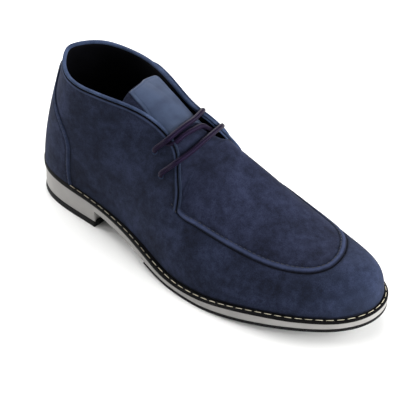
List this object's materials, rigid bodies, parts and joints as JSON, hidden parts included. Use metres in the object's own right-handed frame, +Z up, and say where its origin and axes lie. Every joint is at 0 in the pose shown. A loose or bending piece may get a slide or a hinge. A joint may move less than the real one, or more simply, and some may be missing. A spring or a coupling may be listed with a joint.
{
  "type": "chukka boot",
  "caption": "Ankle-high lace-up chukka boot with a moccasin toe seam and a low heel, hollow, with an open collar for a foot.",
  "frame": {"origin": "on the floor, under the centre of the boot's box", "axes": "+X from the heel to the toe, +Y towards the inner (medial) side, +Z up"},
  "size_m": [0.3004, 0.1039, 0.1179],
  "materials": {
    "suede": "napped suede",
    "midsole_foam": "moulded light grey foam",
    "black_rubber": "fine texture",
    "welt": "edge-dyed, stitched",
    "lining": "smooth lining",
    "lace": "waxed round cord"
  },
  "bodies": {
    "root": {"midsole_heel": "midsole_foam", "top_lift": "black_rubber", "outsole_forepart": "black_rubber", "welt": "welt", "insole": "lining", "upper": "suede", "heel_counter": "suede", "tongue": "suede", "lace_lower_bar": "lace", "lace_upper_bar": "lace", "lace_inner_run": "lace"}
  },
  "joints": []
}
